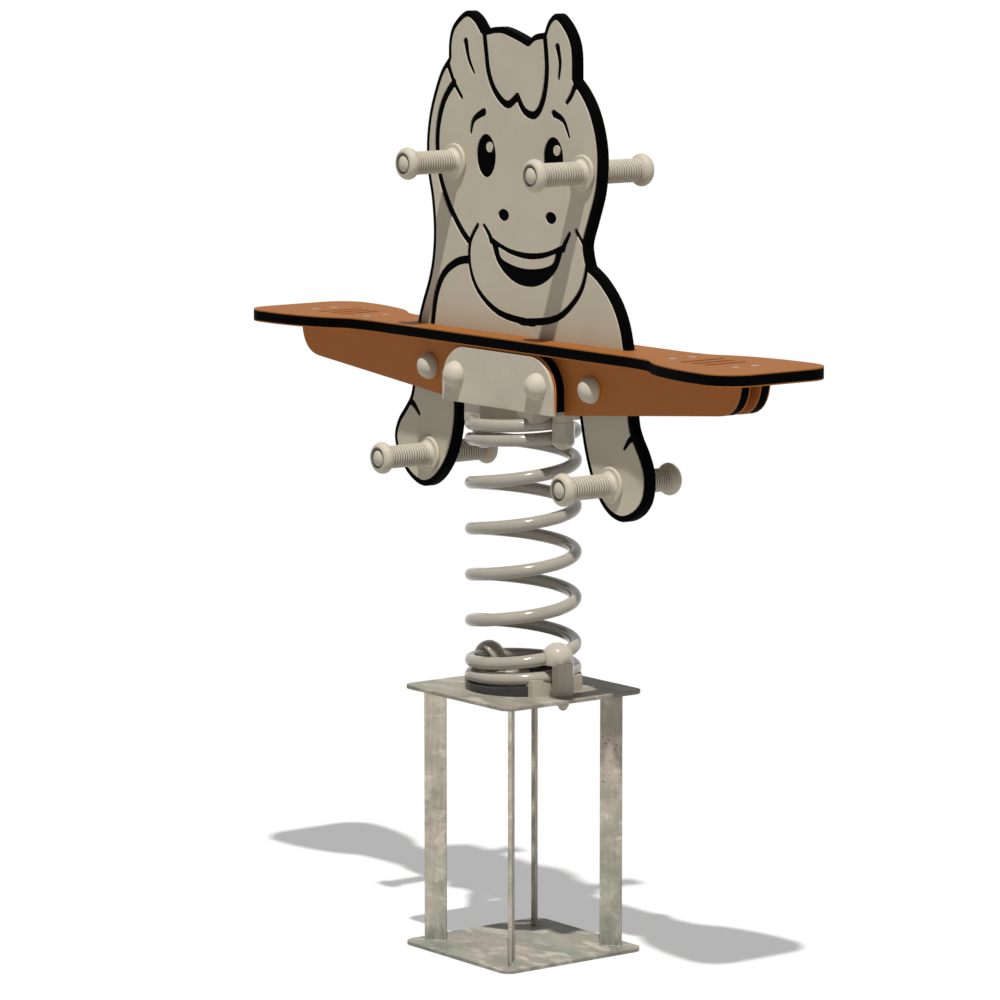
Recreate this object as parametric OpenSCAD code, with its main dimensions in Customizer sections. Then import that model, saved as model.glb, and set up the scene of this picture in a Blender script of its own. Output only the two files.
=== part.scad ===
// Two-seat spring rider: a welded ground anchor, one coil spring in four clamps, and a rider built of
// three-layer plastic boards round a pony-shaped panel. X runs along the seat, Y through the panel, Z is up.
// The origin is the centre of the anchor's underside.

/* [Anchor] */
// Side of the two square plates
plate_w = 274; // [260:1:300]
// Thickness of the two plates
plate_t = 6; // [4:0.5:10]
// Corner radius of the plates
plate_r = 20; // [5:1:25]
// Height of the top plate's upper face
anchor_h = 419; // [300:1:600]
// Width of a flat-bar leg, along the diagonal
leg_w = 35; // [25:1:45]
// Thickness of a flat-bar leg
leg_t = 6; // [4:0.5:10]
// Distance from a plate's sharp corner to the middle of a leg
leg_inset = 54; // [48:1:66]

/* [Spring] */
// Diameter of the spring bar
bar_d = 20; // [14:1:22]
// Turns that lie close together at the bottom
low_turns = 1.375; // [1.36:0.005:1.42]
// Open turns in the middle; a whole turn more or less leaves both ends in their clamps
active_turns = 4.8; // [3.8:1:5.8]
// Turns that lie close together at the top
top_turns = 1.42; // [1.4:0.005:1.46]
// Rise of the bar in one open turn
active_pitch = 72.6; // [50:0.2:90]
// Air between two turns that lie close together
turn_gap = 2.4; // [1.5:0.1:5]
// Thickness of the rubber ring under the spring's lower end
ring_t = 6.5; // [4:0.5:10]

/* [Clamps] */
// Depth of a clamp block along the radius
block_l = 40; // [36:1:46]
// Angle of the spring that a clamp block covers on each side of its bolt
block_angle = 37; // [34:1:42]
// Depth of the bar in a clamp block, past the bar's middle line
block_bite = 2.5; // [0:0.5:4]
// Width across the corners of a lower jaw's column and of a block's boss
low_column_d = 35; // [30:1:38]
// Radius of a lower jaw's domed head
dome_r = 24.5; // [22:0.5:27]
// Width across the corners of an upper jaw, whose end is rounded by a wider ball
top_column_d = 37; // [32:1:40]
// Distance from the anchor plates' edge to a clamp bolt
bolt_edge = 35; // [28:1:42]
// Distance from the outside of the spring to the clamp bolt
bolt_out = 10; // [8:0.5:12]
// Diameter of a clamp bolt
clamp_bolt_d = 10; // [8:1:11]
// Width across the flats of a clamp bolt's domed head
clamp_head_af = 16; // [14:1:18]
// Height of a clamp bolt's head up to its dome
clamp_head_h = 8; // [6:0.5:10]
// Thickness of a clamp bolt's washer
clamp_washer_t = 1.6; // [1:0.1:3]

/* [Head] */
// Air between the spring's upper end and the head plate
end_air = 8; // [4:0.5:12]
// Thickness of the head plate that carries the boards
head_t = 6; // [6:0.5:9]
// Thickness of the two bracket plates
bracket_t = 6; // [4:0.5:8]
// Half-width of a bracket plate
bracket_x = 141; // [132:1:148]
// Air between the spacer boards and the plank
seat_air = 0.5; // [0.3:0.1:3]
// Radius of a bracket plate's upper corners
bracket_r = 58; // [30:1:70]
// Lap of a spacer board beyond the bracket plate
spacer_lap = 2.5; // [0:0.5:3]

/* [Boards] */
// Thickness of the black core
core_t = 15; // [12:0.5:16]
// Thickness of a coloured skin
skin_t = 2; // [1.5:0.5:4]
// Height of the beams
beam_h = 91; // [86:1:100]
// Distance from the plank's end to the beams' end
beam_back = 60; // [45:1:80]
// Length of the beams' level underside beyond the bracket
flat_lap = 4; // [2:1:20]
// Length of the beams' upturned toe
toe_l = 50; // [40:1:65]
// Height of the beams' underside at the toe
toe_h = 35; // [25:1:45]

/* [Seat] */
// Half-width of the plank's waist
waist_y = 54; // [50:1:70]
// Half-width of the plank's ends
seat_y = 108; // [95:1:125]
// Half-length of the straight waist
waist_x = 330; // [310:1:350]
// Distance from the middle to the widest place of a seat
wide_x = 568; // [500:1:650]
// Distance from the widest place to the plank's end
end_l = 54; // [45:1:80]
// Corner radius of the plank
seat_r = 52; // [20:1:60]
// Distance from the widest place back to the outer seat screws
screw_back = 31; // [20:1:40]
// Distance between the outer and the inner seat screws
screw_pitch = 145; // [120:1:170]
// Diameter of a seat screw's head
screw_head_d = 13; // [10:0.5:15]
// Diameter of a seat screw's shank
screw_d = 6; // [5:0.5:8]
// Depth of beam left under a seat screw, measured to the toe
screw_cover = 16; // [10:1:25]
// Number of drain slots in each seat
drain_n = 3; // [1:1:4]
// Length of a drain slot
drain_l = 84; // [60:1:100]
// Width of a drain slot
drain_w = 9; // [6:0.5:12]
// Spacing of the drain slots
drain_pitch = 26; // [20:1:28]

/* [Panel] */
// Width of the black border that the skins leave at the outline
border = 10; // [7:0.5:11]
// Width of the routed lines
line_w = 13; // [8:0.5:14]
// Half-width of an eye
eye_x = 25; // [20:1:28]
// Half-height of an eye
eye_z = 34; // [28:1:38]
// Radius of the catchlight left standing in an eye
glint_r = 8; // [5:0.5:9]
// Half-width of a nostril
nostril_x = 14; // [10:1:16]
// Half-height of a nostril
nostril_z = 9.5; // [7:0.5:12]

/* [Grips] */
// Distance from the panel's right edge to the hand grips' axle
hand_in = 40; // [35:0.5:60]
// Height of the hand grips above the head plate's underside
hand_z = 373; // [360:1:390]
// Distance from the right hoof's outer edge to the foot pegs' axle
foot_in = 85.5; // [75:0.5:100]
// Height of the foot pegs above the head plate's underside, negative below it
foot_z = -99; // [-104:1:-94]
// Length of a grip from the panel
grip_l = 104; // [95:1:130]
// Radius of a grip's flange
flange_r = 28.5; // [26:0.5:30]
// Radius of a grip's barrel over the ribs
barrel_r = 18.3; // [17.5:0.1:20]
// Depth of the grooves between the ribs
rib_h = 2.2; // [0.8:0.1:2.5]
// Number of ribs on a grip
rib_n = 15; // [8:1:16]
// Radius of a grip's end bulb
bulb_r = 25.5; // [22.5:0.5:28]
// Length of a grip's end bulb
bulb_l = 20; // [18:0.5:23]
// Air round the axle nut in its pocket
nut_air = 2.3; // [1:0.1:2.8]
// Rise of the end button's dome
button_h = 4.5; // [3:0.5:6]
// Diameter of the axles through the panel
axle_d = 12; // [10:1:13]
// Width across the flats of an axle nut
axle_nut_af = 19; // [17:0.5:20]
// Thickness of an axle nut
axle_nut_h = 8; // [6:0.5:9]

/* [Bolts and caps] */
// Distance from a bracket plate's end to its bolt
bracket_bolt_in = 36; // [28:1:45]
// Height of the bracket bolts above the head plate's underside
bracket_bolt_z = 43; // [36:1:50]
// Distance from the middle to the beam bolts
beam_bolt_x = 207; // [196:1:220]
// Height of the beam bolts above the head plate's underside
beam_bolt_z = 46; // [42:1:54]
// Diameter of the through bolts
bolt_d = 12; // [10:1:12]
// Width across the flats of a bolt head or nut
bolt_af = 19; // [17:1:20]
// Height of a bolt head
bolt_head_h = 7.5; // [6:0.5:8]
// Thickness of a bolt's nut
nut_h = 8; // [6:0.5:8.5]
// Radius of a dome cap
cap_r = 21.5; // [21:0.5:24]
// Wall of a dome cap over the bolt
cap_crown = 9.4; // [3:0.1:9.8]
// Wall of a dome cap round its base
cap_wall = 4.5; // [3:0.5:6]
// Thickness of a cap base
cap_base_t = 3; // [2:0.5:3.5]

/* [Clearances] */
// Air round bolts, axles and loose fits
fit = 0.3; // [0.2:0.05:0.5]
// Air round the spring bar in its clamps
clamp_play = 1; // [0.8:0.05:1.1]

/* [Hidden] */
// Facets of a circle where they are drawn, and steps of a curve span, a small arc, a corner and an oval
$fn = 64;
span_n = 4;
arc_n = 6;
corner_n = 12;
oval_n = 32;

// Radius of the clamp bolts, and of the spring at the middle of its bar
clamp_r = plate_w / 2 - bolt_edge;
spring_r = clamp_r - bolt_out - bar_d / 2;

// Heights up the spring
end_pitch = bar_d + turn_gap;
spring_z = anchor_h + ring_t + fit + bar_d / 2;
ramp_turns = 0.4;
all_turns = low_turns + active_turns + top_turns;
spring_start = 165;
ring_n = 30;
tube_n = 10;

// Zero of the rider's heights, at the head plate's underside
rider_z = bar_z(all_turns) + bar_d / 2 + end_air;

// Places on the anchor and in the clamps
leg_r = plate_w / 2 * sqrt(2) - leg_inset;
block_lap = 6;
block_out = spring_r + block_lap;
block_w = 2 * spring_r * sin(block_angle);
dome_at = block_out;
dome_skirt = 9;
jaw_shift = 2;
jaw_ball = top_column_d / 2 + 1;
clamp_angles = [0, 180];
csk_d = 2 * clamp_bolt_d;

// Layers through the panel, measured from its middle
board_t = core_t + 2 * skin_t;
beam_y = board_t / 2;
spacer_y = beam_y + board_t;
bracket_y = spacer_y + board_t;
head_y = bracket_y + bracket_t;
seat_z = beam_h;

// Lengths of the boards and of what is fixed to them
seat_x = wide_x + end_l;
beam_x = seat_x - beam_back;
beam_toe = beam_x - toe_l;
screw_out = wide_x - screw_back;
screw_in = screw_out - screw_pitch;
screw_grip = beam_h - toe_h - screw_cover;
bracket_h = beam_h - seat_air - spacer_lap;
notch_x = bracket_x + fit;
bracket_bolt_x = bracket_x - bracket_bolt_in;
cap_base_r = cap_r - cap_wall;
cap_pocket = cap_base_t + max(bolt_head_h, nut_h) + 2 * fit;
cap_h = cap_pocket + cap_crown;

// Grip sizes, with lengths measured from the panel's face
pocket_r = axle_nut_af / 2 / cos(30) + nut_air;
button_r = pocket_r - fit;
flange_l = 6;
flange_edge = 3;
flange_step = 2.5;
collar_l = 13;
nut_cover = 6;
pocket_l = grip_l - axle_nut_h - nut_cover;
axle_end = pocket_l + axle_nut_h + 1;
button_z = axle_end + fit;
button_sunk = 2;
rib_zone = grip_l - bulb_l - collar_l;
neck_r = barrel_r - 4;
bulb_from = 18;
bulb_n = 10;

// Outline of the panel, clockwise in stretches that meet at its notches: x, and z from the rider's zero
OUTLINE = [
    [[-184, 535], [-183, 562], [-171, 588], [-138, 610], [-112, 602], [-92, 582]],
    [[-92, 582], [-50, 588], [-8, 579], [22, 569]],
    [[22, 569], [38, 579], [62, 583]],
    [[62, 583], [73, 602], [92, 613], [113, 601], [131, 580], [140, 555], [141, 514]],
    [[141, 514], [160, 498], [182, 470], [198, 432], [204, 392], [199, 345], [184, 304], [169, 267],
     [170, 248], [176, 231]],
    [[176, 231], [205, 214], [236, 185], [256, 152], [267, 115], [276, 60], [281, 4], [290, -20],
     [306, -44], [318, -70], [320, -95], [312, -122], [290, -143], [258, -154], [225, -146],
     [198, -123], [178, -89], [162, -45], [150, head_t]],
    [[150, head_t], [-160, head_t]],
    [[-160, head_t], [-162, -40], [-173, -82], [-190, -113], [-218, -141], [-252, -154], [-290, -142],
     [-320, -113], [-332, -80], [-322, -52], [-303, -30], [-287, -8], [-278, 30], [-272, 75],
     [-266, 115], [-255, 145], [-240, 178], [-229, 215], [-225, 260], [-230, 310], [-240, 352],
     [-243, 398], [-236, 442], [-222, 480], [-204, 514], [-184, 535]]
];

// Places of the grips, from the outline's right edge at their heights
hand_x = edge_x(hand_z) - hand_in;
foot_x = edge_x(foot_z) - foot_in;

// Routed lines of the pony drawing: fringe, ears, cheek, shoulder, muzzle, brows, dimples and hooves.
// Each has its share of the line width at both ends, then its points.
LINES = [
    [1, 1, [[-92, 592], [-85, 550], [-78, 515], [-60, 486], [-30, 468], [-4, 482]]],
    [1, 1, [[-4, 482], [14, 460], [42, 456], [62, 482], [70, 530], [62, 592]]],
    [1, 0.6, [[-192, 542], [-172, 502], [-148, 474]]],
    [1, 0.6, [[150, 522], [133, 492], [120, 478]]],
    [1, 0.5, [[-137, 562], [-130, 536], [-116, 514]]],
    [1, 0.5, [[97, 562], [103, 538], [100, 514]]],
    [1, 1, [[-168, 497], [-196, 465], [-212, 415], [-208, 357], [-186, 310], [-154, 270], [-131, 250]]],
    [1, 1, [[-228, 100], [-216, 158], [-194, 194], [-160, 214], [-130, 220]]],
    [0.6, 1, [[-106, 276], [-126, 248], [-127, 210], [-105, 172], [-52, 142], [20, 133], [40, 134]]],
    [1, 0.6, [[0, 134], [20, 133], [96, 145], [148, 182], [168, 220], [166, 256], [144, 284]]],
    [0.5, 1, [[-124, 420], [-116, 441], [-90, 454]]],
    [1, 0.5, [[88, 460], [112, 450], [126, 426]]],
    [0.6, 1, [[-90, 276], [-77, 263], [-72, 254]]],
    [0.6, 1, [[128, 278], [117, 263], [112, 254]]],
    [1.4, 0.5, [[-318, -24], [-284, -20], [-262, -38]]],
    [1.4, 0.5, [[316, -28], [284, -22], [264, -40]]]
];
EYES = [[-84, 386], [87, 390]];
NOSTRILS = [[-39, 296], [81, 299]];
MOUTH_TOP = [[-76, 262], [-30, 246], [20, 241], [70, 246], [116, 262]];
MOUTH_LOW = [[116, 262], [98, 222], [62, 196], [20, 188], [-22, 196], [-58, 222], [-76, 262]];
TEETH_TOP = [[-52, 244], [-20, 235], [20, 231], [60, 235], [92, 244]];
TEETH_LOW = [[92, 244], [84, 228], [54, 219], [20, 216], [-14, 219], [-44, 228], [-52, 244]];

GALVANISED = [0.62, 0.63, 0.58];
COATED = [0.67, 0.64, 0.58];
BEIGE = [0.68, 0.65, 0.57];
BROWN = [0.66, 0.40, 0.20];
BLACK = [0.05, 0.05, 0.05];
RUBBER = [0.14, 0.14, 0.14];
ZINC = [0.75, 0.75, 0.73];

// Curves through points

function between(a, b, c, d, t) =
    ((2 * b) + (c - a) * t + (2 * a - 5 * b + 4 * c - d) * t * t
     + (3 * b - a - 3 * c + d) * t * t * t) / 2;

function spline(pts, n = span_n) = [
    for (i = [0 : len(pts) - 2], k = [0 : n - 1])
        between(pts[max(i - 1, 0)], pts[i], pts[i + 1], pts[min(i + 2, len(pts) - 1)], k / n),
    pts[len(pts) - 1]
];

function unit(v) = v / norm(v);

function heading(pts, i) = unit(pts[min(i + 1, len(pts) - 1)] - pts[max(i - 1, 0)]);

function beside(pts, d) = [
    for (i = [0 : len(pts) - 1])
        let (h = heading(pts, i))
        pts[i] + d * [h[1], -h[0]]
];

function turned(pts) = [for (i = [len(pts) - 1 : -1 : 0]) pts[i]];

function open_end(pts) = [for (i = [0 : len(pts) - 2]) pts[i]];

function round_end(p, h, r) = [
    for (k = [1 : arc_n - 1])
        let (a = 180 * k / arc_n)
        p + r * [h[0] * sin(a) + h[1] * cos(a), h[1] * sin(a) - h[0] * cos(a)]
];

// Outline of one line, whose half-width runs from one end's share to the other's
function stroke_side(c, l, side) = [
    for (i = [0 : len(c) - 1])
        let (h = heading(c, i), share = l[0] + (l[1] - l[0]) * i / (len(c) - 1))
        c[i] + side * line_w / 2 * share * [h[1], -h[0]]
];

function stroke(l) =
    let (c = spline(l[2]), n = len(c) - 1)
    concat(
        stroke_side(c, l, 1),
        round_end(c[n], heading(c, n), line_w / 2 * l[1]),
        turned(stroke_side(c, l, -1)),
        round_end(c[0], -heading(c, 0), line_w / 2 * l[0])
    );

function ellipse_points(p, rx, rz) = [
    for (k = [0 : oval_n - 1])
        p + [rx * cos(360 * k / oval_n), rz * sin(360 * k / oval_n)]
];

function lens(top, low) = concat(open_end(spline(top)), open_end(spline(low)));

function outline_points() = [for (s = OUTLINE) each open_end(spline(s))];

function inset_points(d) = [for (s = OUTLINE) each beside(spline(s), d)];

// Places where the outline crosses one height, and the one furthest right
function crossings(z) =
    let (p = outline_points(), n = len(p))
    [for (i = [0 : n - 1])
        let (a = p[i], b = p[(i + 1) % n])
        if ((a[1] < z) != (b[1] < z))
            a[0] + (b[0] - a[0]) * (z - a[1]) / (b[1] - a[1])];

function edge_x(z) = max(crossings(z));

// Path of the spring bar, with u counted in turns from its lower end

function ramp(x) =
    x <= -ramp_turns / 2 ? 0 :
    x >= ramp_turns / 2 ? x :
    (x + ramp_turns / 2) ^ 2 / (2 * ramp_turns);

function ramp_slope(x) = min(1, max(0, x / ramp_turns + 0.5));

function bar_z(u) =
    spring_z + end_pitch * u
    + (active_pitch - end_pitch) * (ramp(u - low_turns) - ramp(u - low_turns - active_turns));

function bar_pitch(u) =
    end_pitch + (active_pitch - end_pitch)
    * (ramp_slope(u - low_turns) - ramp_slope(u - low_turns - active_turns));

function bar_tilt(u) = atan(bar_pitch(u) / (2 * PI * spring_r));

function bar_point(u) =
    let (a = spring_start + 360 * u)
    [spring_r * cos(a), spring_r * sin(a), bar_z(u)];

function bar_ring(u) =
    let (a = spring_start + 360 * u, g = bar_tilt(u))
    [for (k = [0 : tube_n - 1])
        let (b = 360 * k / tube_n, out = bar_d / 2 * cos(b), rise = bar_d / 2 * sin(b))
        bar_point(u) + out * [cos(a), sin(a), 0]
        + rise * [sin(a) * sin(g), -cos(a) * sin(g), cos(g)]];

// First and last turns of the bar at one angle
function first_turn(angle) =
    let (u = (angle - spring_start) / 360)
    u - floor(u);

function last_turn(angle) = first_turn(angle) + floor(all_turns - first_turn(angle));

// Least air between two turns of the bar, measured on points a twelfth of a turn apart
bar_air = min([
    for (u = [0 : 1 / 12 : all_turns - 0.9], v = [0.9 : 1 / 48 : 1.1])
        if (u + v <= all_turns)
            norm(bar_point(u + v) - bar_point(u))
]) - bar_d;
echo("least air between turns", bar_air);

// Shared shapes

module rounded_square(x, y, r) {
    square([2 * x, 2 * (y - r)], center = true);
    square([2 * (x - r), 2 * y], center = true);
    for (i = [-1, 1], j = [-1, 1])
        translate([i * (x - r), j * (y - r)])
            circle(r);
}

// A flat shape drawn in X and Z, standing from y to y + t
module slab(y, t) {
    translate([0, y + t, rider_z])
        rotate([90, 0, 0])
            linear_extrude(t)
                children();
}

// A cylinder along Y between two distances from the panel's middle, in the rider's heights
module cross_pin(x, z, r, y1, y2) {
    translate([x, y1, rider_z + z])
        rotate([-90, 0, 0])
            cylinder(r = r, h = y2 - y1);
}

module cross_hex(x, z, af, y1, y2) {
    translate([x, y1, rider_z + z])
        rotate([-90, 30, 0])
            cylinder(d = af / cos(30), h = y2 - y1, $fn = 6);
}

// The front piece of a pair, whose rear piece is the one that is drawn
module front_of() {
    mirror([0, 1, 0])
        children();
}

module bracket_holes(r) {
    for (i = [-1, 1])
        cross_pin(i * bracket_bolt_x, bracket_bolt_z, r, -head_y - 1, head_y + 1);
}

module beam_holes(r) {
    for (i = [-1, 1])
        cross_pin(i * beam_bolt_x, beam_bolt_z, r, -head_y - 1, head_y + 1);
}

module axle_holes(r) {
    for (i = [-1, 1]) {
        cross_pin(i * hand_x, hand_z, r, -head_y, head_y);
        cross_pin(i * foot_x, foot_z, r, -head_y, head_y);
    }
}

// Anchor

module anchor_plate(z) {
    translate([0, 0, z])
        linear_extrude(plate_t)
            rounded_square(plate_w / 2, plate_w / 2, plate_r);
}

module anchor_base_plate() {
    color(GALVANISED)
        anchor_plate(0);
}

module anchor_legs() {
    color(GALVANISED)
        for (a = [45 : 90 : 315])
            rotate(a)
                translate([leg_r - leg_w / 2, -leg_t / 2, plate_t])
                    cube([leg_w, leg_t, anchor_h - 2 * plate_t]);
}

module anchor_top_plate() {
    color(GALVANISED)
        difference() {
            anchor_plate(anchor_h - plate_t);
            for (a = clamp_angles)
                rotate(a)
                    translate([clamp_r, 0, anchor_h - plate_t - 1])
                        cylinder(d = clamp_bolt_d + 2 * fit, h = plate_t + 2);
        }
}

// The ring's top follows the lowest turn, and the clamp blocks stand in its gaps
function ring_section(u) =
    let (a = spring_start + 360 * u, low = spring_r - bar_d / 2, high = spring_r + bar_d / 2)
    [for (p = [[low, anchor_h], [high, anchor_h], [high, bar_z(u) - bar_d / 2 - fit],
               [low, bar_z(u) - bar_d / 2 - fit]])
        [p[0] * cos(a), p[0] * sin(a), p[1]]];

module spring_seat_ring() {
    pts = [for (i = [0 : ring_n]) each ring_section(i / (ring_n + 1))];
    sides = [
        for (i = [0 : ring_n - 1], k = [0 : 3])
            let (a = 4 * i + k, b = 4 * i + (k + 1) % 4)
            each [[a, a + 4, b], [b, a + 4, b + 4]]
    ];
    last = 4 * ring_n;
    ends = [[0, 1, 2], [0, 2, 3], [last, last + 2, last + 1], [last, last + 3, last + 2]];
    color(RUBBER)
        difference() {
            polyhedron(points = pts, faces = concat(sides, ends));
            translate([-2 * clamp_r, -block_w / 2 - fit, anchor_h - 1])
                cube([4 * clamp_r, block_w + 2 * fit, 4 * bar_d]);
        }
}

// Clamps

// The space that the bar takes at one clamp, with its air
module bar_groove(u) {
    translate([0, 0, bar_z(u)])
        rotate([bar_tilt(u), 0, 0])
            rotate_extrude()
                translate([spring_r, 0])
                    circle(bar_d / 2 + clamp_play);
}

// A round post that stands from -skirt up to zero and ends in half a ball
module domed_post(r, skirt) {
    rotate_extrude()
        intersection() {
            union() {
                circle(r);
                translate([0, -skirt])
                    square([r, skirt]);
            }
            translate([0, -skirt])
                square([r + 1, skirt + r + 1]);
        }
}

module clamp_bolt_hole(z1, z2) {
    translate([clamp_r, 0, z1])
        cylinder(d = clamp_bolt_d + 2 * fit, h = z2 - z1);
}

module lower_clamp_blocks() {
    color(COATED)
        for (a = clamp_angles)
            rotate(a)
                lower_block(first_turn(a));
}

// A clamp block between two heights, with an eight-sided boss round the bolt
module block_body(z1, z2) {
    translate([block_out - block_l, -block_w / 2, z1])
        cube([block_l, block_w, z2 - z1]);
    translate([clamp_r, 0, z1])
        eight_sided(low_column_d, z2 - z1);
}

module eight_sided(d, h) {
    rotate(22.5)
        cylinder(d = d, h = h, $fn = 8);
}

module lower_block(u) {
    top = bar_z(u) - block_bite;
    difference() {
        block_body(anchor_h, top);
        bar_groove(u);
        clamp_bolt_hole(anchor_h - 1, top + 1);
    }
}

module lower_clamp_jaws() {
    color(COATED)
        for (a = clamp_angles)
            rotate(a)
                lower_jaw(first_turn(a));
}

module lower_jaw(u) {
    foot = bar_z(u) - block_bite;
    mid = bar_z(u + 1) - jaw_shift;
    difference() {
        union() {
            translate([clamp_r, 0, foot])
                eight_sided(low_column_d, mid - dome_skirt / 2 - foot);
            translate([dome_at, 0, mid])
                domed_post(dome_r, dome_skirt);
        }
        bar_groove(u);
        bar_groove(u + 1);
        clamp_bolt_hole(foot - 1, mid + fit);
    }
}

module lower_clamp_bolts() {
    color(ZINC)
        for (a = clamp_angles)
            rotate(a)
                translate([clamp_r, 0, anchor_h - plate_t - clamp_washer_t]) {
                    translate([0, 0, -clamp_head_h])
                        cylinder(d = clamp_head_af / cos(30), h = clamp_head_h, $fn = 6);
                    translate([0, 0, -clamp_head_h])
                        mirror([0, 0, 1])
                            domed_post(clamp_head_af / 2 - fit, clamp_head_h / 2);
                    cylinder(d = clamp_bolt_d, h = bar_z(first_turn(a) + 1) - jaw_shift
                             - anchor_h + plate_t + clamp_washer_t);
                }
}

module lower_clamp_washers() {
    color(ZINC)
        for (a = clamp_angles)
            rotate(a)
                translate([clamp_r, 0, anchor_h - plate_t - clamp_washer_t])
                    difference() {
                        cylinder(d = 2 * clamp_bolt_d, h = clamp_washer_t);
                        translate([0, 0, -1])
                            cylinder(d = clamp_bolt_d + 2 * fit, h = clamp_washer_t + 2);
                    }
}

module upper_clamp_blocks() {
    color(COATED)
        for (a = clamp_angles)
            rotate(a)
                upper_block(last_turn(a));
}

module upper_block(u) {
    low = bar_z(u) + block_bite;
    difference() {
        block_body(low, rider_z);
        bar_groove(u);
        clamp_bolt_hole(low - 1, rider_z + 1);
    }
}

module upper_clamp_jaws() {
    color(COATED)
        for (a = clamp_angles)
            rotate(a)
                upper_jaw(last_turn(a));
}

module upper_jaw(u) {
    top = bar_z(u) + block_bite;
    mid = bar_z(u - 1) + jaw_shift;
    difference() {
        intersection() {
            translate([clamp_r, 0, mid])
                mirror([0, 0, 1])
                    domed_post(jaw_ball, top - mid + 1);
            translate([clamp_r, 0, mid - 2 * jaw_ball])
                eight_sided(top_column_d, top - mid + 2 * jaw_ball);
        }
        bar_groove(u);
        bar_groove(u - 1);
        clamp_bolt_hole(mid - fit, top + 1);
    }
}

// The countersunk bolts that hold the upper clamps to the head plate
module upper_clamp_bolts() {
    color(ZINC)
        for (a = clamp_angles)
            rotate(a)
                translate([clamp_r, 0, 0])
                    csk_bolt(bar_z(last_turn(a) - 1) + jaw_shift);
}

module csk_bolt(tip) {
    top = rider_z + head_t - fit;
    translate([0, 0, tip])
        cylinder(d = clamp_bolt_d, h = top - tip);
    translate([0, 0, top - clamp_bolt_d / 2])
        cylinder(d1 = clamp_bolt_d, d2 = csk_d, h = clamp_bolt_d / 2);
}

// The spring, one unbroken round bar

module coil_spring() {
    rings = floor(all_turns * ring_n);
    pts = [
        for (i = [0 : rings])
            each bar_ring(all_turns * i / rings)
    ];
    sides = [
        for (i = [0 : rings - 1], k = [0 : tube_n - 1])
            let (a = i * tube_n + k, b = i * tube_n + (k + 1) % tube_n)
            each [[a, a + tube_n, b], [b, a + tube_n, b + tube_n]]
    ];
    low_end = [for (k = [1 : tube_n - 2]) [0, k, k + 1]];
    top_end = [
        for (k = [1 : tube_n - 2])
            let (a = rings * tube_n)
            [a, a + k + 1, a + k]
    ];
    color(COATED)
        polyhedron(points = pts, faces = concat(sides, low_end, top_end));
}

// Head plate and bracket

// The plate lies between the feet of the bracket plates and is as long as they are
module head_plate() {
    top = rider_z + head_t;
    color(COATED)
        difference() {
            translate([-bracket_x, -bracket_y, rider_z])
                cube([2 * bracket_x, 2 * bracket_y, head_t]);
            for (a = clamp_angles)
                rotate(a) {
                    clamp_bolt_hole(rider_z - 1, top + 1);
                    translate([clamp_r, 0, top - clamp_bolt_d / 2 - fit])
                        cylinder(d1 = clamp_bolt_d + 2 * fit, d2 = csk_d + 2 * fit, h = clamp_bolt_d / 2);
                    translate([clamp_r, 0, top - fit])
                        cylinder(d = csk_d + 2 * fit, h = 2 * fit);
                }
        }
}

// Outline of a bracket plate, and with a lap and a raised foot that of its spacer board
module arch(lap, foot) {
    x = bracket_x + lap;
    z = bracket_h + lap;
    r = bracket_r;
    translate([-x, foot])
        square([2 * x, z - r - foot]);
    translate([r - x, foot])
        square([2 * (x - r), z - foot]);
    for (i = [-1, 1])
        translate([i * (x - r), z - r])
            intersection() {
                circle(r);
                translate([-r, 0])
                    square([2 * r, r]);
            }
}

module bracket_plate() {
    difference() {
        slab(bracket_y, bracket_t)
            arch(0, 0);
        bracket_holes(bolt_d / 2 + fit);
    }
}

module front_bracket_plate() {
    color(COATED)
        front_of()
            bracket_plate();
}

module rear_bracket_plate() {
    color(COATED)
        bracket_plate();
}

module spacer_layer(y, t) {
    difference() {
        slab(y, t)
            arch(spacer_lap, head_t);
        bracket_holes(bolt_d / 2 + fit);
    }
}

module spacer_skins() {
    spacer_layer(spacer_y, skin_t);
    spacer_layer(spacer_y + skin_t + core_t, skin_t);
}

module front_spacer_core() {
    color(BLACK)
        front_of()
            spacer_layer(spacer_y + skin_t, core_t);
}

module rear_spacer_core() {
    color(BLACK)
        spacer_layer(spacer_y + skin_t, core_t);
}

module front_spacer_skins() {
    color(BROWN)
        front_of()
            spacer_skins();
}

module rear_spacer_skins() {
    color(BROWN)
        spacer_skins();
}

// Beams under the seat, with a curved end that meets the sloping underside and a notch for the head plate

function beam_end(n = 2 * span_n) = [
    for (k = [0 : n])
        let (t = k / n, a = [beam_x, beam_h], b = [beam_x - 2, toe_h + 4], c = [beam_toe, toe_h])
        a * (1 - t) ^ 2 + b * 2 * t * (1 - t) + c * t ^ 2
];

module beam_outline() {
    right = concat(beam_end(), [[bracket_x + flat_lap, 0], [notch_x, 0], [notch_x, head_t]]);
    polygon(concat(right, turned([for (p = right) [-p[0], p[1]]])));
}

module beam_layer(y, t) {
    difference() {
        slab(y, t)
            beam_outline();
        bracket_holes(bolt_d / 2 + fit);
        beam_holes(bolt_d / 2 + fit);
    }
}

module beam_core() {
    difference() {
        beam_layer(beam_y + skin_t, core_t);
        seat_screw_places()
            translate([0, 0, -screw_grip - fit])
                cylinder(d = screw_d + 2 * fit, h = screw_grip + 1);
    }
}

module beam_skins() {
    beam_layer(beam_y, skin_t);
    beam_layer(beam_y + skin_t + core_t, skin_t);
}

module front_beam_core() {
    color(BLACK)
        front_of()
            beam_core();
}

module rear_beam_core() {
    color(BLACK)
        beam_core();
}

module front_beam_skins() {
    color(BROWN)
        front_of()
            beam_skins();
}

module rear_beam_skins() {
    color(BROWN)
        beam_skins();
}

// Pony panel

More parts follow.
